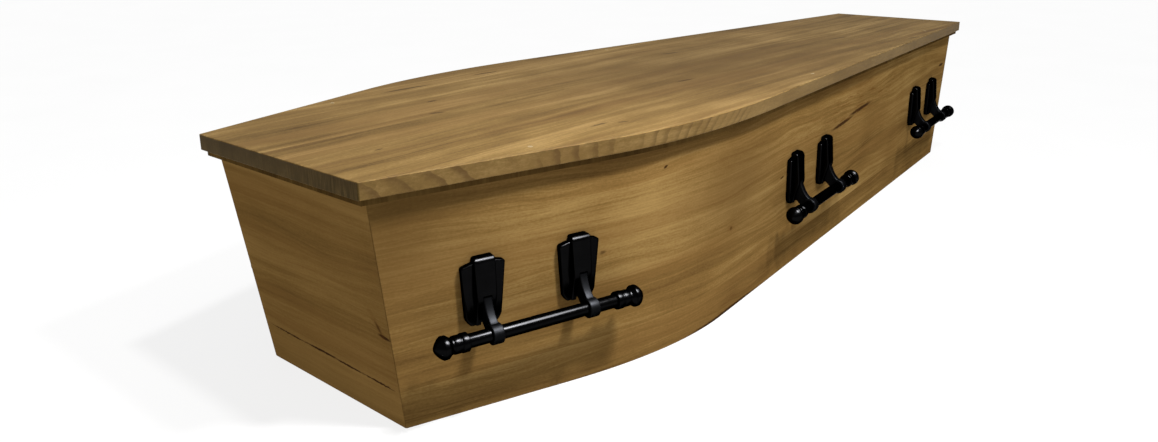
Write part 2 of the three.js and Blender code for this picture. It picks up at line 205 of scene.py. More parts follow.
# Floor
FLOOR_HALF = 30
FLOOR_SEGMENTS = 8
FLOOR_GLOW = 0.82
FLOOR_DARK = (0.17, 0.17, 0.17, 1.0)
FLOOR_LIGHT = (0.2, 0.2, 0.2, 1.0)
FLOOR_ROUGHNESS = 0.9


def srgb(red, green, blue):
    """Linear colour of a colour given as screen values from 0 to 255."""
    linear = []
    for value in (red, green, blue):
        share = value / 255
        linear.append(share / 12.92 if share <= 0.04045 else ((share + 0.055) / 1.055) ** 2.4)
    return (*linear, 1.0)


# Tones of the stained wood: dark, middle, light and the redder streaks
LID_TONES = (srgb(79, 59, 32), srgb(120, 95, 54), srgb(160, 132, 84), srgb(117, 88, 51))
SIDE_TONES = (srgb(82, 60, 30), srgb(113, 87, 47), srgb(143, 116, 70), srgb(110, 81, 43))
END_TONES = (srgb(92, 68, 35), srgb(111, 84, 44), srgb(129, 100, 56), srgb(109, 79, 41))
# The rim's tones are dark as painted shade under the lid's overhang
RIM_SHADE_TONES = (srgb(54, 39, 18), srgb(76, 57, 28), srgb(98, 76, 41), srgb(73, 53, 26))
BARK_TONE = srgb(42, 24, 13)
KNOT_TONE = srgb(92, 60, 27)
EDGE_TONE = srgb(86, 68, 37)
STRIPE_TONE = srgb(66, 47, 27)
END_GRAIN_TONE = srgb(60, 48, 23)

# Boards that the panels are glued from: their width, where a joint lies, and a darker board below the joint
LID_BOARD = 0.21
LID_JOINT = 0.02
WALL_BOARD = 0.4
SIDE_JOINT = 0.057
END_JOINT = 0.0585
INNER_BOARD = 0.14
INNER_JOINT = 0.05
SIDE_RIGHT_STEP = 0.18
SIDE_LEFT_STEP = 0.15
STEP_RANGE = (0.004, -0.004)
BOARD_SHIFT_ALONG = 9.0
BOARD_SHIFT_ACROSS = 0.7

# Patterns as (scale along, across and into the board), detail and roughness
WANDER_PATTERN = ((2.3, 11.0, 1.0), 2.0, 0.5)
BROAD_PATTERN = ((0.9, 15.0, 15.0), 2.0, 0.5)
STREAK_PATTERN = ((1.8, 62.0, 62.0), 3.0, 0.6)
THIN_PATTERN = ((4.5, 260.0, 260.0), 3.0, 0.6)
FIBRE_PATTERN = ((42.0, 1100.0, 1100.0), 2.0, 0.5)
CLOUD_PATTERN = ((7.0, 9.0, 9.0), 3.0, 0.5)
MOTTLE_PATTERN = ((210.0, 330.0, 330.0), 2.0, 0.5)
PORE_PATTERN = ((85.0, 900.0, 900.0), 1.0, 0.5)
WARM_PATTERN = ((1.4, 21.0, 21.0), 2.0, 0.5)
RAGGED_PATTERN = ((150.0, 420.0, 150.0), 2.0, 0.5)
CURL_PATTERN = ((16.0, 190.0, 190.0), 3.0, 0.65)
STRIPE_WAVER_PATTERN = ((26.0, 26.0, 60.0), 2.0, 0.5)
STRIPE_GAP_PATTERN = ((15.0, 15.0, 3.0), 2.0, 0.5)
END_LINE_PATTERN = ((0.0, 330.0, 22.0), 2.0, 0.6)
END_CLOUD_PATTERN = ((0.0, 40.0, 6.0), 2.0, 0.5)
PEEL_PATTERN = ((900.0, 900.0, 900.0), 2.0, 0.5)
HAZE_PATTERN = ((70.0, 70.0, 70.0), 3.0, 0.5)
SCRATCH_PATTERN = ((1400.0, 1400.0, 1400.0), 2.0, 0.5)
FLOOR_PATTERN = ((3.0, 3.0, 3.0), 3.0, 0.5)

# How much each pattern counts in the wood, and the range in which it sets in
BOARD_WEIGHT = 0.12
BROAD_WEIGHT = 1.3
STREAK_WEIGHT = 1.1
THIN_WEIGHT = 0.8
FIBRE_WEIGHT = 0.5
CLOUD_WEIGHT = 0.65
MOTTLE_WEIGHT = 0.4
PORE_WEIGHT = 0.16
PORE_RANGE = (0.68, 0.8)
WARM_WEIGHT = 0.38
WARM_RANGE = (0.42, 0.68)
WANDER_REACH = 0.05
RAGGED_REACH = 4.0 * MM
WOOD_ROUGHNESS = 0.44
WOOD_ROUGHNESS_CHANGE = 0.14
WOOD_BUMP = 0.1
WOOD_BUMP_DEPTH = 0.3 * MM
LID_SPECULAR = 0.02

# Strength of the marks, and the share of each that is solid
MARK_DEPTHS = (1.2 * MM, 0.4 * MM)
FLECK_STRENGTH = 0.92
LID_FLECK_STRENGTH = 0.66
FLECK_CORE = 0.45
HEART_STRENGTH = 0.55
HEART_CORE = 0.2
HALO_STRENGTH = 0.34
KNOT_HALO = (3.2, 2.2)
KNOT_FLOW = (3.5, 3.0)
KNOT_PUSH = 1.6
CURL_STRENGTH = 0.7
CURL_CORE = 0.35
CURL_RANGE = (0.54, 0.64)

# Cut edge of the lid: growth rings that lean and close up away from the head, and end grain at both ends
EDGE_STRENGTH = 0.6
EDGE_TOP = (0.5 * MM, 1.6 * MM)
EDGE_FOOT = (LID_THICKNESS, LID_THICKNESS - 0.4 * MM)
STRIPE_STRENGTH = 0.62
STRIPE_LEAN = 1.5
STRIPE_LEAN_CHANGE = -4.6
STRIPE_RATE = 20.8
STRIPE_RATE_CHANGE = 21.5
STRIPE_WAVER = 0.5
STRIPE_RISE = (0.4, 0.9)
STRIPE_FALL = (1.0, 0.94)
STRIPE_GAP_RANGE = (0.28, 0.66)
STRIPE_REACH = (0.75, 0.55)
END_STRENGTH = 0.66
END_CLOUD_WEIGHT = 0.4
END_RANGE = (MIDDLE - 2.5 * MM, MIDDLE - 1.2 * MM)
END_LINE_RANGE = (0.35, 0.65)
END_LINE_SIDE = (0.02, -0.14)
END_LINE_LEAST = 0.12
END_LINE_MORE = 0.4

# Marks as (along, across, half length, half width, tilt)
DEPTH_IGNORED = 1000.0
LID_FLECKS = (
    (-0.882, -0.081, 9 * MM, 3.0 * MM, 0.1),
    (-0.5907, -0.2099, 24 * MM, 3.6 * MM, -0.03),
    (-0.555, -0.2256, 12 * MM, 3.2 * MM, -0.4),
    (-0.589, 0.2275, 66 * MM, 5.5 * MM, -0.04),
    (-0.3936, 0.2363, 38 * MM, 4.5 * MM, -0.12),
    (-0.634, 0.1075, 14 * MM, 4.0 * MM, 0.0),
    (-0.219, -0.1035, 30 * MM, 4.5 * MM, -0.1),
    (-0.687, 0.0325, 17 * MM, 4.5 * MM, -0.35),
    (0.0335, 0.109, 32 * MM, 5.5 * MM, -0.3),
    (0.484, -0.066, 50 * MM, 5.5 * MM, -0.16),
    (0.5976, -0.2025, 30 * MM, 4.5 * MM, -0.16),
)
SIDE_FLECKS = (
    (0.16, 0.232, 78 * MM, 5.2 * MM, 0.06),
    (0.264, 0.244, 86 * MM, 5.2 * MM, 0.05),
    (0.914, 0.25, 28 * MM, 4.5 * MM, 0.0),
    (-0.1415, 0.189, 10 * MM, 2.2 * MM, 0.1),
    # The long mark low down is a dark strip along the bottom edge of the side, drawn like the flecks
    (-0.34, 0.002, 150 * MM, 5.0 * MM, 0.0),
    (-0.5226, 0.2941, 6 * MM, 2.4 * MM, 0.3),
)
SIDE_KNOTS = (
    (-0.6385, 0.1885, 7 * MM, 4.2 * MM, 0.0),
    (-0.3425, 0.1511, 6 * MM, 5.0 * MM, 0.0),
)
SIDE_CURLS = (0.21, 0.26, 420 * MM, 46 * MM, 0.03)
HEAD_FLECKS = (
    (0.095, 0.06, 62 * MM, 1.9 * MM, 0.02),
    (0.015, 0.0595, 52 * MM, 2.6 * MM, 0.0),
    (-0.05, 0.058, 42 * MM, 2.3 * MM, 0.02),
    (-0.115, 0.057, 46 * MM, 2.0 * MM, 0.03),
    (-0.1515, 0.1368, 16 * MM, 3.8 * MM, 0.1),
)
HEAD_KNOTS = ((-0.142, 0.148, 14 * MM, 4.0 * MM, 1.08),)

# Broad patches of another tone as (mark, strength, number of the tone): those on the side and the lid are
# painted shade, darker patches standing in for less light; the one on the head end is a lighter patch low
# down
SIDE_PAINTED_SHADE = (
    ((-0.96, 0.29, 230 * MM, 170 * MM, 0.0), 0.6, 0),
    ((-0.33, 0.23, 240 * MM, 170 * MM, 0.0), 0.6, 0),
    ((-0.15, 0.15, 420 * MM, 240 * MM, 0.0), 0.15, 0),
)
LID_PAINTED_SHADE = (((-0.1, -0.05, 700 * MM, 420 * MM, 0.0), 0.55, 0),)
HEAD_PATCHES = (((0.0, 0.02, 260 * MM, 62 * MM, 0.0), 0.4, 2),)

# Black finishes and screw metal
GLOSS_COLOR = (0.0037, 0.0037, 0.0039)
MATT_COLOR = (0.0042, 0.0044, 0.0049)
BLACK_SPREAD = (0.7, 1.3)
HAZE_WEIGHT = 0.14
PEEL_DEPTH = 0.2 * MM
SCREW_DARK = srgb(128, 110, 76)
SCREW_LIGHT = srgb(162, 142, 104)
SCREW_ROUGHNESS = 0.45
SCREW_ROUGHNESS_CHANGE = 0.2
SCREW_METALLIC = 0.4
SCRATCH_BUMP = 0.1
SCRATCH_DEPTH = 0.1 * MM


# Lines and outlines

def even_steps(start, end, count):
    """Evenly spaced values from start to end, both included."""
    return [start + (end - start) * i / count for i in range(count + 1)]


def curve(start, corner, end, steps):
    """Points along a curve that leaves start towards a corner and turns to end."""
    points = []
    for share in even_steps(0, 1, steps):
        points.append(start.lerp(corner, share).lerp(corner.lerp(end, share), share))
    return points


def half_outline(head, shoulder, foot, bends):
    """Half outline from the head corner round the bent shoulder to the foot corner."""
    head, shoulder, foot = Vector(head), Vector(shoulder), Vector(foot)
    start = shoulder + (head - shoulder).normalized() * bends[0]
    end = shoulder + (foot - shoulder).normalized() * bends[1]
    points = [head.lerp(start, share) for share in even_steps(0, 1, HEAD_RUN_STEPS)[:-1]]
    points += curve(start, shoulder, end, BEND_STEPS)
    points += [end.lerp(foot, share) for share in even_steps(0, 1, FOOT_RUN_STEPS)[1:]]
    return points


def slide_to_x(points, end, neighbour, x):
    """Slides an end point along its straight run until it reaches a given x."""
    a, b = points[neighbour], points[end]
    points[end] = a.lerp(b, (x - a.x) / (b.x - a.x))


def mitre(before, after, distance):
    """Step from a corner between two directions to the same corner of a line set off to their left."""
    side_a = Vector((-before.y, before.x)).normalized()
    side_b = Vector((-after.y, after.x)).normalized()
    normal = (side_a + side_b).normalized()
    return normal * (distance / max(normal.dot(side_b), LEAST_MITRE))


def inset_outline(points, distance):
    """The half outline moved inward by the same distance all along, its ends included."""
    line = []
    last = len(points) - 1
    for i, here in enumerate(points):
        before = here - points[i - 1] if i > 0 else points[1] - here
        after = points[i + 1] - here if i < last else here - points[last - 1]
        line.append(here + mitre(before, after, -distance))
    slide_to_x(line, 0, 1, points[0].x + distance)
    slide_to_x(line, last, last - 1, points[last].x - distance)
    return line


def inset_loop(points, distance):
    """Closed loop of 2-D points, given counter-clockwise, moved inward."""
    loop = []
    for i, here in enumerate(points):
        after = points[(i + 1) % len(points)] - here
        loop.append(here + mitre(here - points[i - 1], after, distance))
    return loop


def from_head(pair):
    return (pair[0] - MIDDLE, pair[1])


LID_HALF = half_outline((-MIDDLE, LID_HEAD_HALF), from_head((LID_SHOULDER_FROM_HEAD, LID_SHOULDER_HALF)),
                        (MIDDLE, LID_FOOT_HALF), LID_BENDS)
WALL_HIGH = inset_outline(LID_HALF, WALL_SETBACK)
WALL_LOW = half_outline(from_head(BASE_HEAD), from_head(BASE_SHOULDER), from_head(BASE_FOOT), BASE_BENDS)


def wall_half(z, inset=0.0):
    """Half outline of the wall's outer face at a height, moved inward by inset."""
    outline = [low.lerp(high, z / LID_UNDERSIDE) for low, high in zip(WALL_LOW, WALL_HIGH)]
    return inset_outline(outline, inset) if inset else outline


def full_loop(half):
    return [Vector((p.x, -p.y)) for p in half] + [Vector(p) for p in reversed(half)]


def wall_y(x, z):
    """Half width of the wall's outer face at a station and height."""
    line = wall_half(z)
    for a, b in zip(line, line[1:]):
        if a.x <= x <= b.x:
            return a.lerp(b, (x - a.x) / (b.x - a.x)).y
    return line[-1].y


# Mesh building

def add_object(name, data):
    obj = bpy.data.objects.new(name, data)
    bpy.context.scene.collection.objects.link(obj)
    return obj


def smooth_faces(mesh, sharp_angle=SHARP_ANGLE):
    """Smooth shading that stops at sharp edges."""
    mesh.polygons.foreach_set("use_smooth", [True] * len(mesh.polygons))
    mesh.set_sharp_from_angle(angle=sharp_angle)


def finish_mesh(bm, name, sharp_angle=SHARP_ANGLE):
    """Turns a bmesh into an object with faces pointing out, smooth but for its sharp edges."""
    bmesh.ops.recalc_face_normals(bm, faces=bm.faces)
    mesh = bpy.data.meshes.new(name)
    bm.to_mesh(mesh)
    bm.free()
    smooth_faces(mesh, sharp_angle)
    return add_object(name, mesh)


def add_grain(obj, grain_points):
    """Stores where each point lies in its board: along the grain, across it, and depth below the face."""
    attribute = obj.data.attributes.new("grain", "FLOAT_VECTOR", "POINT")
    attribute.data.foreach_set("vector", [c for p in grain_points for c in p])


def round_edges(obj, width):
    modifier = obj.modifiers.new("edges", "BEVEL")
    modifier.width = width
    modifier.segments = BEVEL_SEGMENTS
    modifier.limit_method = "ANGLE"
    modifier.angle_limit = BEVEL_ANGLE
    modifier.harden_normals = True


def strip_board(name, rows, grain_of, closed=False):
    """Board between an outer and an inner line; rows is a list of (outer, inner) lines of 3-D points."""
    bm = bmesh.new()
    grain = []
    grid = []
    for outer, inner in rows:
        lines = []
        for depth, line in ((0.0, outer), (WALL_THICKNESS, inner)):
            lines.append([bm.verts.new(p) for p in line])
            grain += [grain_of(p, depth) for p in line]
        grid.append(lines)
    count = len(rows[0][0])
    spans = [(i, (i + 1) % count) for i in range(count if closed else count - 1)]
    for low, high in zip(grid, grid[1:]):
        for side in (0, 1):
            for i, j in spans:
                bm.faces.new((low[side][i], low[side][j], high[side][j], high[side][i]))
        if not closed:
            for i in (0, count - 1):
                bm.faces.new((low[0][i], low[1][i], high[1][i], high[0][i]))
    for lines in (grid[0], grid[-1]):
        for i, j in spans:
            bm.faces.new((lines[0][i], lines[0][j], lines[1][j], lines[1][i]))
    obj = finish_mesh(bm, name)
    add_grain(obj, grain)
    return obj


def loft(name, sections):
    """Closed skin through sections that all have the same number of points."""
    bm = bmesh.new()
    rings = [[bm.verts.new(p) for p in section] for section in sections]
    count = len(rings[0])
    for a, b in zip(rings, rings[1:]):
        for i in range(count):
            j = (i + 1) % count
            bm.faces.new((a[i], a[j], b[j], b[i]))
    bm.faces.new(rings[0])
    bm.faces.new(rings[-1])
    return finish_mesh(bm, name)


def slab(name, low_loop, low_z, high_loop, high_z):
    """Flat board with one loop below and one above, the grain running along x."""
    sections = [[(p.x, p.y, z) for p in loop] for loop, z in ((low_loop, low_z), (high_loop, high_z))]
    obj = loft(name, sections)
    add_grain(obj, [(x, y, high_z - z) for section in sections for x, y, z in section])
    return obj


def turned(name, profile, sharp_angle=SHARP_ANGLE):
    """Turned piece about the x axis; profile is (radius, along) pairs, with its ends on the axis."""
    bm = bmesh.new()
    rings = []
    for radius, along in profile:
        if radius == 0:
            rings.append([bm.verts.new((along, 0, 0))])
            continue
        ring = []
        for k in range(ROUND_SIDES):
            angle = 2 * math.pi * k / ROUND_SIDES
            ring.append(bm.verts.new((along, radius * math.cos(angle), radius * math.sin(angle))))
        rings.append(ring)
    for a, b in zip(rings, rings[1:]):
        for k in range(ROUND_SIDES):
            n = (k + 1) % ROUND_SIDES
            if len(a) == 1:
                bm.faces.new((a[0], b[n], b[k]))
            elif len(b) == 1:
                bm.faces.new((a[k], a[n], b[0]))
            else:
                bm.faces.new((a[k], a[n], b[n], b[k]))
    return finish_mesh(bm, name, sharp_angle)


def rim_curve(rounding, steps):
    """Quarter round of a rim as pairs: how far it still stays back, and how far it has gone on."""
    pairs = []
    for angle in even_steps(0, math.pi / 2, steps):
        pairs.append((rounding * (1 - math.sin(angle)), rounding * (1 - math.cos(angle))))
    return pairs


def rounded_slice(name, loop, width, rounding):
    """Side profile of (out, up) points, extruded along the wall with rounded rims."""
    sections = []
    for back, on in rim_curve(rounding, RIM_STEPS):
        sections.append((-width / 2 + on, inset_loop(loop, back)))
    mirrored = [(-x, ring) for x, ring in reversed(sections)]
    skin = [[(x, -p.x, p.y) for p in ring] for x, ring in sections + mirrored]
    return loft(name, skin)


def combine(target, tool, operation):
    """Joins a tool object to a target, or cuts it away, and removes the tool."""
    modifier = target.modifiers.new(operation, "BOOLEAN")
    modifier.operation = operation
    modifier.solver = "EXACT"
    modifier.object = tool
    bpy.context.view_layer.update()
    shaped = target.evaluated_get(bpy.context.evaluated_depsgraph_get())
    mesh = bpy.data.meshes.new_from_object(shaped)
    target.modifiers.clear()
    target.data = mesh
    bpy.data.objects.remove(tool)
    return target


def moved(obj, offset):
    obj.data.transform(Matrix.Translation(offset))
    return obj


# Materials

class Graph:
    """Short calls for building a material's nodes."""

    def __init__(self, name):
        self.material = bpy.data.materials.new(name)
        self.material.use_nodes = True
        self.tree = self.material.node_tree
        self.tree.nodes.clear()

    def add(self, kind, **settings):
        node = self.tree.nodes.new(kind)
        for key, value in settings.items():
            setattr(node, key, value)
        return node

    def put(self, socket, value):
        if isinstance(value, bpy.types.NodeSocket):
            self.tree.links.new(value, socket)
        else:
            socket.default_value = value

    def object_place(self):
        return self.add("ShaderNodeTexCoord").outputs["Object"]

    def math(self, operation, *values, clamp=False):
        node = self.add("ShaderNodeMath", operation=operation, use_clamp=clamp)
        for socket, value in zip(node.inputs, values):
            self.put(socket, value)
        return node.outputs[0]

    def total(self, first, *terms):
        """First value plus each (value, weight) term, the value counted from its middle, 0.5."""
        result = first
        for value, weight in terms:
            centred = self.math("MULTIPLY_ADD", value, weight, -0.5 * weight)
            result = self.math("ADD", result, centred)
        return result

    def product(self, first, *others):
        for other in others:
            first = self.math("MULTIPLY", first, other)
        return first

    def largest(self, values):
        result = values[0]
        for value in values[1:]:
            result = self.math("MAXIMUM", result, value)
        return result

    def vector(self, x, y, z):
        node = self.add("ShaderNodeCombineXYZ")
        for socket, value in zip(node.inputs, (x, y, z)):
            self.put(socket, value)
        return node.outputs[0]

    def split(self, vector):
        node = self.add("ShaderNodeSeparateXYZ")
        self.put(node.inputs[0], vector)
        return node.outputs

    def vector_math(self, operation, *vectors):
        node = self.add("ShaderNodeVectorMath", operation=operation)
        for socket, vector in zip(node.inputs, vectors):
            self.put(socket, vector)
        return node.outputs

    def sway(self, vector, pattern, reach):
        """The place moved across the grain as a pattern says, by half of reach either way."""
        across = self.math("MULTIPLY_ADD", pattern, reach, -reach / 2)
        return self.vector_math("ADD", vector, self.vector(0.0, across, 0.0))[0]

    def smooth(self, value, low, high):
        """0 at low, 1 at high, with soft ends."""
        node = self.add("ShaderNodeMapRange", interpolation_type="SMOOTHSTEP")
        self.put(node.inputs["Value"], value)
        node.inputs["From Min"].default_value = low
        node.inputs["From Max"].default_value = high
        return node.outputs[0]

    def noise(self, vector, pattern):
        scale, detail, roughness = pattern
        node = self.add("ShaderNodeTexNoise")
        self.put(node.inputs["Vector"], self.vector_math("MULTIPLY", vector, scale)[0])
        node.inputs["Scale"].default_value = 1.0
        node.inputs["Detail"].default_value = detail
        node.inputs["Roughness"].default_value = roughness
        return node.outputs["Fac"]

    def random(self, value, seed):
        """Three numbers from 0 to 1 that change with value."""
        node = self.add("ShaderNodeTexWhiteNoise", noise_dimensions="2D")
        self.put(node.inputs["Vector"], self.vector(value, seed, 0.0))
        split = self.add("ShaderNodeSeparateColor")
        self.put(split.inputs[0], node.outputs["Color"])
        return split.outputs

    def about(self, vector, mark):
        """Place measured from the middle of a mark, in half lengths along it and half widths across it."""
        along, across, half_length, half_width, tilt = mark
        node = self.add("ShaderNodeMapping", vector_type="TEXTURE")
        self.put(node.inputs["Vector"], vector)
        node.inputs["Location"].default_value = (along, across, 0.0)
        node.inputs["Rotation"].default_value = (0.0, 0.0, tilt)
        node.inputs["Scale"].default_value = (half_length, half_width, DEPTH_IGNORED)
        return node.outputs[0]

    def spot(self, vector, mark, core=0.0):
        """1 in the middle of a spindle-shaped mark, out to the share core of it, and 0 outside it."""
        distance = self.vector_math("LENGTH", self.about(vector, mark))["Value"]
        return self.smooth(distance, 1.0, core)

    def mix(self, factor, a, b):
        """Mix of two colours; inputs 6 and 7 and output 2 are the node's colour sockets."""
        node = self.add("ShaderNodeMix", data_type="RGBA")
        self.put(node.inputs[0], factor)
        self.put(node.inputs[6], a)
        self.put(node.inputs[7], b)
        return node.outputs[2]

    def ramp(self, factor, stops):
        node = self.add("ShaderNodeValToRGB")
        self.put(node.inputs[0], factor)
        elements = node.color_ramp.elements
        while len(elements) < len(stops):
            elements.new(0.5)
        for element, (place, color) in zip(elements, stops):
            element.position = place
            element.color = color
        return node.outputs[0]

    def bump(self, height, strength, distance):
        node = self.add("ShaderNodeBump")
        node.inputs["Strength"].default_value = strength
        node.inputs["Distance"].default_value = distance
        self.put(node.inputs["Height"], height)
        return node.outputs[0]

    def surface(self, color, roughness, normal=None, **values):
        shader = self.add("ShaderNodeBsdfPrincipled")
        self.put(shader.inputs["Base Color"], color)
        self.put(shader.inputs["Roughness"], roughness)
        if normal is not None:
            self.put(shader.inputs["Normal"], normal)
        for name, value in values.items():
            shader.inputs[name.replace("_", " ").title().replace("Ior", "IOR")].default_value = value
        output = self.add("ShaderNodeOutputMaterial")
        self.tree.links.new(shader.outputs[0], output.inputs[0])
        return self.material


def grown(mark, lengthwise, crosswise):
    """The same mark, so many times as long and as wide."""
    along, across, half_length, half_width, tilt = mark
    return (along, across, half_length * lengthwise, half_width * crosswise, tilt)


def push_round_knots(g, place, knots):
    """Grain coordinates with the lines spread apart so that they flow round each knot."""
    along, across, depth = g.split(place)
    for knot in knots:
        field = grown(knot, *KNOT_FLOW)
        aside = g.split(g.about(place, field))[1]
        across = g.math("SUBTRACT", across, g.product(aside, g.spot(place, field), knot[3] * KNOT_PUSH))
    return g.vector(along, across, depth)


def board_grain(g, place, chances, seed, knots):
    """Grain coordinates: every board has its own stretch of grain, and the lines wander a little."""
    shift_along = g.math("MULTIPLY", chances[0], BOARD_SHIFT_ALONG)
    shift_across = g.math("MULTIPLY", chances[1], BOARD_SHIFT_ACROSS)
    apart = g.vector(shift_along, shift_across, seed)
    grain = g.vector_math("ADD", push_round_knots(g, place, knots), apart)[0]
    return g.sway(grain, g.noise(grain, WANDER_PATTERN), WANDER_REACH)


def draw_marks(g, color, place, grain, flecks, fleck_strength, knots, curls):
    """Bark flecks and knots with a reddish halo, both with ragged edges, and curly figure."""
    on_face = g.smooth(g.split(place)[2], *MARK_DEPTHS)
    ragged = g.sway(place, g.noise(place, RAGGED_PATTERN), RAGGED_REACH)
    if flecks:
        dark = g.largest([g.spot(ragged, fleck, FLECK_CORE) for fleck in flecks])
        color = g.mix(g.product(dark, on_face, fleck_strength), color, BARK_TONE)
    if knots:
        heart = g.largest([g.spot(ragged, knot, HEART_CORE) for knot in knots])
        halo = g.largest([g.spot(ragged, grown(knot, *KNOT_HALO)) for knot in knots])
        color = g.mix(g.product(halo, on_face, HALO_STRENGTH), color, KNOT_TONE)
        color = g.mix(g.product(heart, on_face, HEART_STRENGTH), color, BARK_TONE)
    if curls:
        lines = g.smooth(g.noise(grain, CURL_PATTERN), *CURL_RANGE)
        curly = g.product(g.spot(place, curls, CURL_CORE), lines, on_face, CURL_STRENGTH)
        color = g.mix(curly, color, KNOT_TONE)
    return color


def lid_edge_stripes(g, place, along, depth):
    """Dark bands where the cut edge of the lid crosses the growth rings."""
    station = g.math("ADD", along, MIDDLE)
    lean = g.math("MULTIPLY_ADD", station, STRIPE_LEAN_CHANGE, STRIPE_LEAN)
    at_face = g.math("SUBTRACT", station, g.math("MULTIPLY", lean, depth))
    closing = g.math("MULTIPLY", g.math("POWER", at_face, 2.0), STRIPE_RATE_CHANGE)
    phase = g.math("ADD", g.math("MULTIPLY", at_face, STRIPE_RATE), closing)
    waver = g.noise(place, STRIPE_WAVER_PATTERN)
    ring = g.math("FRACT", g.total(phase, (waver, STRIPE_WAVER)))
    band = g.math("MULTIPLY", g.smooth(ring, *STRIPE_RISE), g.smooth(ring, *STRIPE_FALL))
    some = g.smooth(g.noise(place, STRIPE_GAP_PATTERN), *STRIPE_GAP_RANGE)
    return g.product(band, some, g.smooth(station, *STRIPE_REACH), STRIPE_STRENGTH)


def end_edge_stripes(g, place, along, across):
    """Dark end grain with fine upright lines at the two ends of the lid."""
    lines = g.smooth(g.noise(place, END_LINE_PATTERN), *END_LINE_RANGE)
    strength = g.math("MULTIPLY_ADD", g.smooth(across, *END_LINE_SIDE), END_LINE_MORE, END_LINE_LEAST)
    upright = g.product(g.math("SUBTRACT", lines, 0.5), strength)
    cloudy = g.total(END_STRENGTH, (g.noise(place, END_CLOUD_PATTERN), END_CLOUD_WEIGHT))
    end = g.smooth(g.math("ABSOLUTE", along), *END_RANGE)
    return g.product(g.math("ADD", cloudy, upright), end)


def draw_lid_edges(g, color, place):
    """Cut edge of the lid: darker all round, with stripes along it and end grain at its ends."""
    along, across, depth = g.split(place)
    edge = g.math("MULTIPLY", g.smooth(depth, *EDGE_TOP), g.smooth(depth, *EDGE_FOOT))
    color = g.mix(g.math("MULTIPLY", edge, EDGE_STRENGTH), color, EDGE_TONE)
    color = g.mix(g.product(edge, lid_edge_stripes(g, place, along, depth)), color, STRIPE_TONE)
    return g.mix(g.product(edge, end_edge_stripes(g, place, along, across)), color, END_GRAIN_TONE)


def wood_material(name, board, joint, tones, seed, flecks=(), fleck_strength=FLECK_STRENGTH, knots=(),
                  curls=None, patches=(), lid_edges=False, specular=0.0, lower_step=0.0):
    """Stained pine: boards side by side with streaks, fibres and pores, and the marks that it is given."""
    g = Graph(name)
    place = g.add("ShaderNodeAttribute", attribute_name="grain").outputs["Vector"]
    across = g.split(place)[1]
    position = g.math("MULTIPLY_ADD", across, 1.0 / board, -joint / board)
    chances = g.random(g.math("FLOOR", position), seed)
    grain = board_grain(g, place, chances, seed, knots)

    broad = g.noise(grain, BROAD_PATTERN)
    streak = g.noise(grain, STREAK_PATTERN)
    thin = g.noise(grain, THIN_PATTERN)
    fibre = g.noise(grain, FIBRE_PATTERN)
    cloud = g.noise(grain, CLOUD_PATTERN)
    mottle = g.noise(place, MOTTLE_PATTERN)
    pore = g.smooth(g.noise(grain, PORE_PATTERN), *PORE_RANGE)
    warm = g.smooth(g.noise(grain, WARM_PATTERN), *WARM_RANGE)

    tone = g.total(0.5, (chances[2], BOARD_WEIGHT), (broad, BROAD_WEIGHT), (streak, STREAK_WEIGHT),
                   (thin, THIN_WEIGHT), (fibre, FIBRE_WEIGHT), (cloud, CLOUD_WEIGHT), (mottle, MOTTLE_WEIGHT))
    if lower_step:
        below = g.smooth(position, *STEP_RANGE)
        tone = g.math("SUBTRACT", tone, g.math("MULTIPLY", below, lower_step))
    tone = g.math("SUBTRACT", tone, g.math("MULTIPLY", pore, PORE_WEIGHT), clamp=True)
    color = g.ramp(tone, [(0.0, tones[0]), (0.5, tones[1]), (1.0, tones[2])])
    color = g.mix(g.math("MULTIPLY", warm, WARM_WEIGHT), color, tones[3])
    # Patches of another tone: painted shade on the side and the lid, a lighter patch on the head end
    for mark, strength, number in patches:
        color = g.mix(g.math("MULTIPLY", g.spot(place, mark), strength), color, tones[number])
    if flecks or knots or curls:
        color = draw_marks(g, color, place, grain, flecks, fleck_strength, knots, curls)
    if lid_edges:
        color = draw_lid_edges(g, color, place)

    height = g.math("SUBTRACT", g.math("ADD", fibre, thin), pore)
    roughness = g.total(WOOD_ROUGHNESS, (thin, WOOD_ROUGHNESS_CHANGE))
    normal = g.bump(height, WOOD_BUMP, WOOD_BUMP_DEPTH)
    return g.surface(color, roughness, normal, specular_ior_level=specular)


def black_material(name, color, roughness, peel, glint):
    """Black moulded finish with a faint orange peel, an uneven gloss and dark slanting reflections."""
    g = Graph(name)
    place = g.object_place()
    haze = g.noise(place, HAZE_PATTERN)
    darker, lighter = [(*(c * share for c in color), 1.0) for share in BLACK_SPREAD]
    tint = g.mix(haze, darker, lighter)
    rough = g.total(roughness, (haze, HAZE_WEIGHT))
    normal = g.bump(g.noise(place, PEEL_PATTERN), peel, PEEL_DEPTH)
    return g.surface(tint, rough, normal, metallic=1.0, specular_tint=(glint, glint, glint, 1.0))


def screw_material():
    g = Graph("pale_screw")
    scratch = g.noise(g.object_place(), SCRATCH_PATTERN)
    tint = g.mix(scratch, SCREW_DARK, SCREW_LIGHT)
    rough = g.total(SCREW_ROUGHNESS, (scratch, SCREW_ROUGHNESS_CHANGE))
    return g.surface(tint, rough, g.bump(scratch, SCRATCH_BUMP, SCRATCH_DEPTH), metallic=SCREW_METALLIC)


def floor_material():
    g = Graph("pale_floor")
    tint = g.mix(g.noise(g.object_place(), FLOOR_PATTERN), FLOOR_DARK, FLOOR_LIGHT)
    return g.surface(tint, FLOOR_ROUGHNESS, specular_ior_level=0.0, emission_color=WHITE,
                     emission_strength=FLOOR_GLOW)
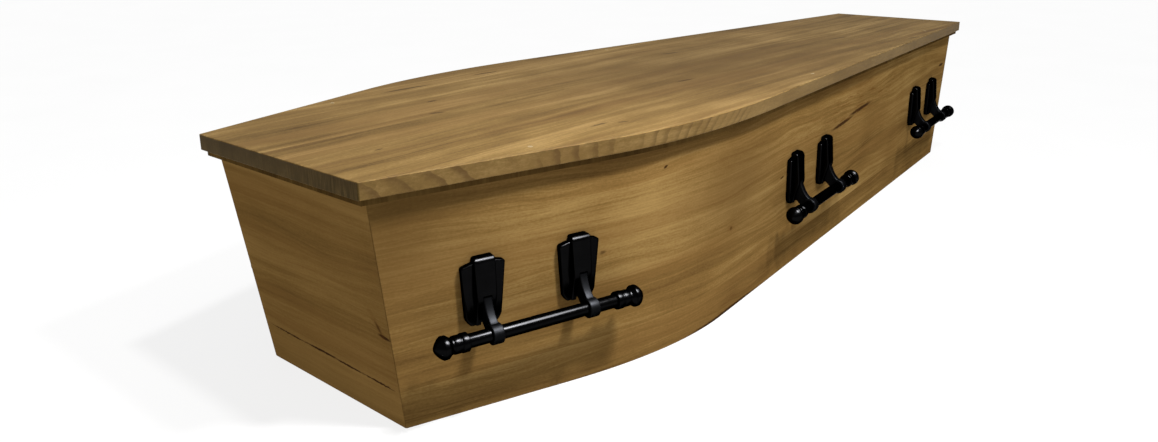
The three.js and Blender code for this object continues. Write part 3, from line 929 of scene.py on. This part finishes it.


# The lid and the right side carry patches of painted shade
LID_WOOD = wood_material("lid_pine", LID_BOARD, LID_JOINT, LID_TONES, seed=3.0, flecks=LID_FLECKS,
                         fleck_strength=LID_FLECK_STRENGTH, patches=LID_PAINTED_SHADE, lid_edges=True,
                         specular=LID_SPECULAR)
SIDE_RIGHT_WOOD = wood_material("side_right_pine", WALL_BOARD, SIDE_JOINT, SIDE_TONES, seed=11.0,
                                flecks=SIDE_FLECKS, knots=SIDE_KNOTS, curls=SIDE_CURLS,
                                patches=SIDE_PAINTED_SHADE, lower_step=SIDE_RIGHT_STEP)
SIDE_LEFT_WOOD = wood_material("side_left_pine", WALL_BOARD, SIDE_JOINT, SIDE_TONES, seed=17.0,
                               lower_step=SIDE_LEFT_STEP)
HEAD_WOOD = wood_material("head_end_pine", WALL_BOARD, END_JOINT, END_TONES, seed=23.0, flecks=HEAD_FLECKS,
                          knots=HEAD_KNOTS, patches=HEAD_PATCHES)
FOOT_WOOD = wood_material("foot_end_pine", WALL_BOARD, END_JOINT, END_TONES, seed=31.0)
BASE_WOOD = wood_material("base_pine", INNER_BOARD, INNER_JOINT, SIDE_TONES, seed=29.0)
# The rim's dark wood is painted shade under the lid
RIM_SHADED_WOOD = wood_material("lid_rim_pine_shaded", INNER_BOARD, INNER_JOINT, RIM_SHADE_TONES, seed=37.0)
GLOSS_BLACK = black_material("gloss_black", GLOSS_COLOR, roughness=0.2, peel=0.03, glint=0.02)
MATT_BLACK = black_material("matt_black", MATT_COLOR, roughness=0.45, peel=0.08, glint=0.03)
PALE_SCREW = screw_material()


def dress(obj, material, body, slot, *nodes):
    """Gives a piece its material and its body, and hides the nodes that it stands for; slot is not used."""
    obj.data.materials.clear()
    obj.data.materials.append(material)
    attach(obj, body)
    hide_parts(*nodes)


# Lid, walls and base

def dress_board(board, wood, slot, node, rounding=EDGE_ROUNDING):
    round_edges(board, rounding)
    dress(board, wood, "box", slot, node)


def make_sides():
    for side, sign, wood in (("right", -1, SIDE_RIGHT_WOOD), ("left", 1, SIDE_LEFT_WOOD)):
        rows = []
        for z in even_steps(0.0, WALL_TOP, WALL_ROWS):
            lines = []
            for line in (wall_half(z), wall_half(z, WALL_THICKNESS)):
                last = len(line) - 1
                slide_to_x(line, 0, 1, line[0].x + JOINT_GAP)
                slide_to_x(line, last, last - 1, line[last].x - JOINT_GAP)
                lines.append([(p.x, sign * p.y, z) for p in line])
            rows.append(lines)
        board = strip_board(f"board_side_{side}", rows, lambda p, depth: (p[0], p[2], depth))
        dress_board(board, wood, "box_wood", f"side_{side}")


def make_ends():
    for node, pick, wood in (("head_end", 0, HEAD_WOOD), ("foot_end", -1, FOOT_WOOD)):
        rows = []
        for z in even_steps(0.0, WALL_TOP, WALL_ROWS):
            lines = []
            for corner in (wall_half(z)[pick], wall_half(z, WALL_THICKNESS)[pick]):
                reach = corner.y - JOINT_GAP
                lines.append([(corner.x, y, z) for y in even_steps(-reach, reach, END_COLUMNS)])
            rows.append(lines)
        board = strip_board(f"board_{node}", rows, lambda p, depth: (p[1], p[2], depth))
        dress_board(board, wood, "box_wood", node)


def make_base():
    low = full_loop(wall_half(0.0, WALL_THICKNESS + BASE_CLEARANCE))
    high = full_loop(wall_half(BASE_THICKNESS, WALL_THICKNESS + BASE_CLEARANCE))
    board = slab("board_base", low, 0.0, high, BASE_THICKNESS)
    dress_board(board, BASE_WOOD, "box_wood", "base")


def make_rim():
    outer = full_loop(inset_outline(LID_HALF, RIM_SETBACK))
    inner = full_loop(wall_half(WALL_TOP, WALL_THICKNESS))
    rows = []
    for z in (WALL_TOP + GAP, WALL_TOP + GAP + RIM_THICKNESS):
        rows.append(([(p.x, p.y, z) for p in outer], [(p.x, p.y, z) for p in inner]))
    board = strip_board("board_lid_rim", rows, lambda p, depth: (p[0], p[1], depth), closed=True)
    dress_board(board, RIM_SHADED_WOOD, "box_wood", "lid_rim", RIM_ROUNDING)


def make_lid():
    loop = full_loop(LID_HALF)
    board = slab("board_lid", loop, LID_UNDERSIDE, loop, HEIGHT)
    dress_board(board, LID_WOOD, "lid_wood", "lid")


def make_screws():
    profile = [(0, -SCREW_SUNK), (SCREW_HEAD_RADIUS, -SCREW_SUNK), (SCREW_HEAD_RADIUS, SCREW_LIP)]
    profile += [(SCREW_HEAD_RADIUS * radius, SCREW_RISE * rise) for radius, rise in SCREW_DOME]
    for side in ("right", "left"):
        for number in (1, 2, 3):
            node = f"lid_screw_{side}_{number}"
            low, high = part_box(node)
            head = turned(f"screw_{side}_{number}", profile)
            head.data.transform(Matrix.Rotation(-math.pi / 2, 4, "Y"))
            moved(head, ((low.x + high.x) / 2, (low.y + high.y) / 2, HEIGHT))
            dress(head, PALE_SCREW, "box", "screw_metal", node)


# Handles. Their own frame has x along the wall, -y out of the wall and z up the wall.

def cut_corners(corners, cut):
    """Convex loop with a small curve in place of each corner."""
    loop = []
    for i, here in enumerate(corners):
        before = here + (corners[i - 1] - here).normalized() * cut
        after = here + (corners[(i + 1) % len(corners)] - here).normalized() * cut
        loop += curve(before, here, after, RIM_STEPS)
    return loop


def wing_mesh():
    """Broad plate behind the rib, wider at the top, with cut lower corners and a rounded rim."""
    right = [(WING_FOOT_HALF, WING_FOOT_HEIGHT), (WING_CORNER_HALF, WING_CORNER_HEIGHT),
             (WING_TOP_HALF, WING_OUTER_HEIGHT), (RIB_TOP_HALF, WING_INNER_HEIGHT)]
    corners = [Vector(p) for p in right] + [Vector((-x, z)) for x, z in reversed(right)]
    outline = cut_corners(corners, WING_CORNER_CUT)
    sections = [[(p.x, 0.0, p.y) for p in outline]]
    for back, on in rim_curve(WING_ROUNDING, PLATE_RIM_STEPS):
        sections.append([(p.x, back - WING_DEPTH, p.y) for p in inset_loop(outline, on)])
    return loft("wing_part", sections)


def top_fall(z, radius):
    """How far the rounded top of the rib has fallen back at a height."""
    over = max(0.0, (z - RIB_HEIGHT) / radius + 1)
    return radius * (1 - math.sqrt(max(0.0, 1 - over ** 2)))


def rib_depth(z):
    """How far the rib stands out at a height: deepest at the nose, with a rounded brow."""
    if z < NOSE_LOW:
        share = (z - RIB_FOOT_HEIGHT) / (NOSE_LOW - RIB_FOOT_HEIGHT)
        return RIB_FOOT_DEPTH + (NOSE_DEPTH - RIB_FOOT_DEPTH) * share
    share = max(0.0, (z - NOSE_HIGH) / (RIB_HEIGHT - RIB_BROW - NOSE_HIGH))
    return NOSE_DEPTH + (RIB_TOP_DEPTH - NOSE_DEPTH) * min(share, 1.0) - top_fall(z, RIB_BROW)


def rib_half(z):
    """Half width of the rib at a height, with rounded upper corners."""
    half = RIB_FOOT_HALF + (RIB_TOP_HALF - RIB_FOOT_HALF) * z / RIB_HEIGHT
    return half - top_fall(z, RIB_CORNER)


def rib_section(z):
    """Level cut through the rib: flat back, straight cheeks and a front with rounded edges."""
    half, depth = rib_half(z), rib_depth(z)
    side = [(-half, 0.0)]
    side += [(on - half, depth - back) for back, on in rim_curve(RIB_ROUNDING, PLATE_RIM_STEPS)]
    return [(x, -d, z) for x, d in side + [(-x, d) for x, d in reversed(side)]]


def rib_mesh():
    brow_start = RIB_HEIGHT - RIB_BROW
    heights = even_steps(RIB_FOOT_HEIGHT, NOSE_LOW, RIB_RUN_STEPS)
    heights += even_steps(NOSE_HIGH, brow_start, RIB_RUN_STEPS)
    heights += [brow_start + RIB_BROW * math.sin(a) for a in even_steps(0, math.pi / 2, RIB_RUN_STEPS)[1:]]
    return loft("rib_part", [rib_section(z) for z in heights])


def round_the_pivot(radius, start, steps):
    """Points on a circle about the hinge, from an angle up over it to the wall's side."""
    points = []
    for angle in even_steps(start, math.pi, steps):
        points.append(Vector((PIVOT_OUT + radius * math.cos(angle), PIVOT_UP + radius * math.sin(angle))))
    return points


def slot_mesh():
    beyond = NOSE_DEPTH + SLOT_BEYOND
    loop = [Vector((SLOT_WEB, -SLOT_BEYOND)), Vector((beyond, -SLOT_BEYOND)), Vector((beyond, PIVOT_UP))]
    loop += [Vector((max(p.x, SLOT_WEB), p.y)) for p in round_the_pivot(SLOT_ROUND, 0.0, SLOT_STEPS)]
    half = ARM_WIDTH / 2 + GAP
    return loft("slot_part", [[(x, -p.x, p.y) for p in loop] for x in (-half, half)])


def pin_mesh(radius, length):
    profile = [(0, -length / 2), (radius, -length / 2), (radius, length / 2), (0, length / 2)]
    return moved(turned("pin_part", profile), (0, -PIVOT_OUT, PIVOT_UP))


def plate_mesh():
    plate = combine(rib_mesh(), wing_mesh(), "UNION")
    combine(plate, slot_mesh(), "DIFFERENCE")
    combine(plate, pin_mesh(PIN_RADIUS + GAP, ARM_WIDTH + 2 * (PIN_REACH + 2 * GAP)), "DIFFERENCE")
    smooth_faces(plate.data)
    return plate


def bezier(controls, steps):
    """Points in metres along a cubic curve given in millimetres, both ends included."""
    a, b, c, d = (Vector(p) * MM for p in controls)
    line = []
    for t in even_steps(0, 1, steps):
        line.append((1 - t) ** 3 * a + 3 * t * (1 - t) ** 2 * b + 3 * t * t * (1 - t) * c + t ** 3 * d)
    return line


def arm_loop():
    """Side profile of the swing arm from its ledge over the hub, down the back and up the swept front."""
    hub = round_the_pivot(HUB_RADIUS, HUB_START, HUB_STEPS)
    back = bezier(ARM_BACK, ARM_BACK_STEPS)
    front = bezier(ARM_FRONT, ARM_FRONT_STEPS)
    return [Vector(LEDGE)] + hub + back + [Vector((RING_OUT, RING_UP))] + front


def rounded_band(radius, start, end, rounding, steps):
    """Part of a turned profile: a band between two stations with both of its rims rounded."""
    first = [(radius - back, start + on) for back, on in rim_curve(rounding, steps)]
    return first + [(r, start + end - x) for r, x in reversed(first)]


def round_profile(radius, half_width, rounding):
    """Profile of a solid round piece with rounded rims, closed on the axis."""
    band = rounded_band(radius, -half_width, half_width, rounding, RIM_STEPS)
    return [(0, -half_width)] + band + [(0, half_width)]


def arm_mesh():
    arm = rounded_slice("arm_part", arm_loop(), ARM_WIDTH, ARM_ROUNDING)
    seat = (0, -RING_OUT, RING_UP)
    ring = moved(turned("ring_part", round_profile(RING_RADIUS, RING_WIDTH / 2, RING_ROUNDING)), seat)
    combine(arm, ring, "UNION")
    bore = moved(turned("bore_part", round_profile(BAR_RADIUS + BORE_FIT, RING_WIDTH, BORE_ROUNDING)), seat)
    combine(arm, bore, "DIFFERENCE")
    combine(arm, pin_mesh(PIN_RADIUS, ARM_WIDTH + 2 * PIN_REACH), "UNION")
    smooth_faces(arm.data)
    return arm


def bar_mesh():
    half = TIP_START + TIP_SOCKET - GAP
    return moved(turned("bar_part", round_profile(BAR_RADIUS, half, BAR_ROUNDING)), (0, -RING_OUT, RING_UP))


def tip_mesh():
    """Turned tip with a socket, a collar, a barrel between two grooves and a flared cap with a domed end."""
    bore = BAR_RADIUS + TIP_FIT
    profile = [(0, TIP_SOCKET), (bore, TIP_SOCKET), (bore, 0)]
    profile += rounded_band(COLLAR_RADIUS, 0, COLLAR_END, COLLAR_ROUNDING, BAND_STEPS)
    profile += [(GROOVE_RADIUS, COLLAR_END + GROOVE_SLOPE), (GROOVE_RADIUS, BARREL_START - GROOVE_SLOPE)]
    profile += rounded_band(BARREL_RADIUS, BARREL_START, BARREL_END, BAND_ROUNDING, BAND_STEPS)
    profile += [(GROOVE_RADIUS, BARREL_END + GROOVE_SLOPE)]
    for share in even_steps(0, 1, FLARE_STEPS):
        radius = GROOVE_RADIUS + (FLARE_RADIUS - GROOVE_RADIUS) * share ** FLARE_POWER
        profile.append((radius, FLARE_START + (FLARE_END - FLARE_START) * share))
    profile += rounded_band(CAP_RADIUS, CAP_START, CAP_END, BAND_ROUNDING, BAND_STEPS)
    for angle in even_steps(0, math.pi / 2, DOME_STEPS)[1:]:
        share = math.sin(angle)
        profile.append((CAP_RADIUS * (1 - share) ** DOME_POWER, CAP_END + (TIP_LENGTH - CAP_END) * share))
    return turned("tip_part", profile, TIP_SHARP_ANGLE)


def handle_frame(joint):
    """Name of a handle, and its place and turn worked out from its hinge and its bar."""
    label = joint["name"].removesuffix("_hinge")
    along = -Vector(joint["axis"]).normalized()
    pivot = Vector(joint["pos_m"])
    low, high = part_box(f"{label}_bar")
    reach = (low + high) / 2 - pivot
    reach -= along * reach.dot(along)
    turned_reach = along.cross(reach)
    out = RING_OUT - PIVOT_OUT
    rise = RING_UP - PIVOT_UP
    inward = (-out * reach - rise * turned_reach).normalized()
    up = along.cross(inward)
    origin = pivot + inward * PIVOT_OUT - up * PIVOT_UP
    matrix = Matrix((along, inward, up)).transposed().to_4x4()
    return label, Matrix.Translation(origin) @ matrix


def seat_on_wall(mesh, matrix):
    """Moves the back of a plate, now in its place, onto the wall's face."""
    inverse = matrix.inverted()
    for vertex in mesh.vertices:
        local = inverse @ vertex.co
        if local.y > -PLATE_BACK:
            sign = -1 if vertex.co.y < 0 else 1
            vertex.co.y = sign * (wall_y(vertex.co.x, vertex.co.z) + PLATE_CLEARANCE)


def copy_piece(source, name, matrix):
    mesh = source.data.copy()
    mesh.name = name
    mesh.transform(matrix)
    return add_object(name, mesh)


def make_handles():
    plate, arm, bar, tip = plate_mesh(), arm_mesh(), bar_mesh(), tip_mesh()
    for joint in frame["joints"]:
        label, matrix = handle_frame(joint)
        swing = joint["child"]
        for end in ("head", "foot"):
            low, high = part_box(f"{label}_plate_{end}")
            local = matrix.inverted() @ ((low + high) / 2)
            offset = math.copysign(PLATE_SPACING / 2, local.x)
            place = matrix @ Matrix.Translation((offset, 0, 0))
            piece = copy_piece(plate, f"{label}_backplate_{end}", place)
            seat_on_wall(piece.data, matrix)
            dress(piece, GLOSS_BLACK, "box", "plate_black", f"{label}_plate_{end}")
            piece = copy_piece(arm, f"{label}_swing_arm_{end}", place)
            dress(piece, MATT_BLACK, swing, "arm_black", f"{label}_arm_{end}")
            turn = Matrix.Rotation(0 if offset > 0 else math.pi, 4, "Z")
            seat = Matrix.Translation((math.copysign(TIP_START, offset), -RING_OUT, RING_UP)) @ turn
            piece = copy_piece(tip, f"{label}_turned_tip_{end}", matrix @ seat)
            dress(piece, GLOSS_BLACK, swing, "bar_black", f"{label}_tip_{end}")
        piece = copy_piece(bar, f"{label}_round_bar", matrix)
        dress(piece, GLOSS_BLACK, swing, "bar_black", f"{label}_bar")
    for source in (plate, arm, bar, tip):
        bpy.data.objects.remove(source)


# Camera, light and floor

def make_camera():
    data = bpy.data.cameras.new("camera")
    camera = add_object("camera", data)
    ahead = Vector((math.cos(CAMERA_DIP) * math.cos(CAMERA_HEADING),
                    math.cos(CAMERA_DIP) * math.sin(CAMERA_HEADING), -math.sin(CAMERA_DIP)))
    level = ahead.cross(Vector((0, 0, 1))).normalized()
    below = ahead.cross(level)
    right = level * math.cos(CAMERA_ROLL) + below * math.sin(CAMERA_ROLL)
    down = below * math.cos(CAMERA_ROLL) - level * math.sin(CAMERA_ROLL)
    turn = Matrix((right, -down, -ahead)).transposed().to_4x4()
    camera.matrix_world = Matrix.Translation(CAMERA_PLACE) @ turn
    data.sensor_width = SENSOR_WIDTH
    data.lens = CAMERA_FOCAL_PIXELS / IMAGE_WIDTH * SENSOR_WIDTH
    data.shift_x = (IMAGE_WIDTH / 2 - CAMERA_AXIS_PIXEL[0]) / IMAGE_WIDTH
    data.shift_y = (CAMERA_AXIS_PIXEL[1] - IMAGE_HEIGHT / 2) / IMAGE_WIDTH
    bpy.context.scene.camera = camera


def add_light(name, kind, place, aim, **settings):
    """Light at a place that shines along aim."""
    data = bpy.data.lights.new(name, kind)
    for key, value in settings.items():
        setattr(data, key, value)
    light = add_object(name, data)
    light.location = place
    light.rotation_euler = aim.to_track_quat("-Z", "Y").to_euler()
    return light


def add_lamp(name, place, size, power):
    return add_light(name, "AREA", place, LAMP_TARGET - place, shape="DISK", size=size, energy=power)


def make_light():
    scene = bpy.context.scene
    scene.view_settings.view_transform = "Standard"
    scene.world = bpy.data.worlds.new("studio")
    scene.world.use_nodes = True
    background = scene.world.node_tree.nodes["Background"]
    background.inputs["Color"].default_value = WHITE
    background.inputs["Strength"].default_value = WORLD_STRENGTH
    add_light("key", "SUN", KEY_TOWARDS, -KEY_TOWARDS, energy=KEY_STRENGTH, angle=KEY_SPREAD)
    add_lamp("lamp", LAMP_PLACE, LAMP_SIZE, LAMP_POWER)
    sheen = add_lamp("sheen", SHEEN_PLACE, SHEEN_SIZE, SHEEN_POWER)
    sheen.visible_diffuse = False


def make_floor():
    bm = bmesh.new()
    bmesh.ops.create_grid(bm, x_segments=FLOOR_SEGMENTS, y_segments=FLOOR_SEGMENTS, size=FLOOR_HALF)
    floor = finish_mesh(bm, "floor")
    floor.data.materials.append(floor_material())


make_camera()
make_sides()
make_ends()
make_base()
make_rim()
make_lid()
make_screws()
make_handles()
make_light()
make_floor()
